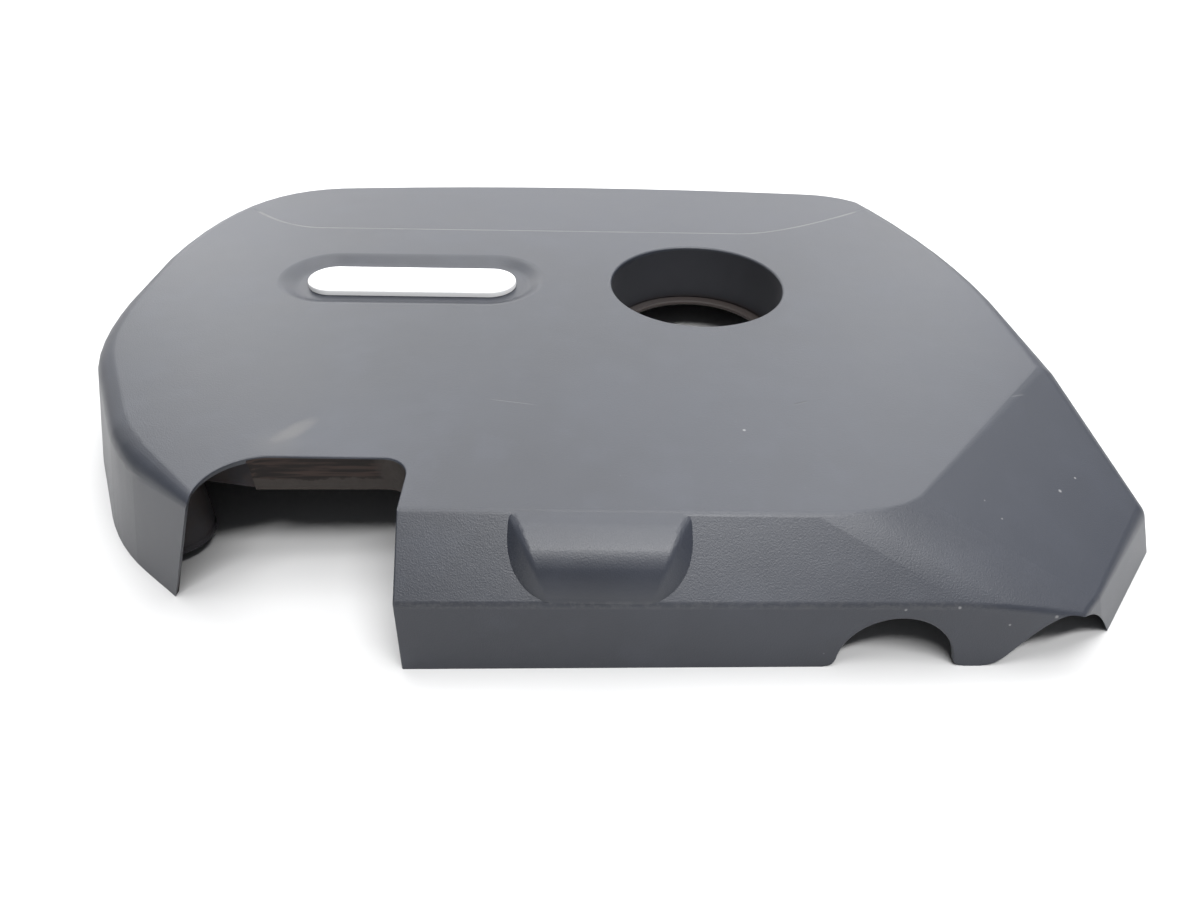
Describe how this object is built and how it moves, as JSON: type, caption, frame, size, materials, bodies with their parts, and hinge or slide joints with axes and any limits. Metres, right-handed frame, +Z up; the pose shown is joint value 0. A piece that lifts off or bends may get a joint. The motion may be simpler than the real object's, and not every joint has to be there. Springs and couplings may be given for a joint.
{
  "type": "engine cover",
  "caption": "Moulded cover shell for the top of a car engine, with a round filler opening with a collar, a front notch, a badge plate and rubber mounts.",
  "frame": {"origin": "middle of the rim's bounding box, in the plane that the rim stands on", "axes": "+X along the cover's length to the right, +Y from front to back, +Z up"},
  "size_m": [0.5311, 0.3915, 0.0618],
  "materials": {
    "cover": "fine-grained satin grey plastic, lightly scuffed",
    "badge": "satin plate, bright border",
    "rubber": "matt black rubber"
  },
  "bodies": {
    "root": {"cover_shell": "cover", "badge_plate": "badge", "grommet_front_left": "rubber", "grommet_front_right": "rubber", "grommet_rear_left": "rubber", "grommet_rear_right": "rubber"}
  },
  "joints": []
}
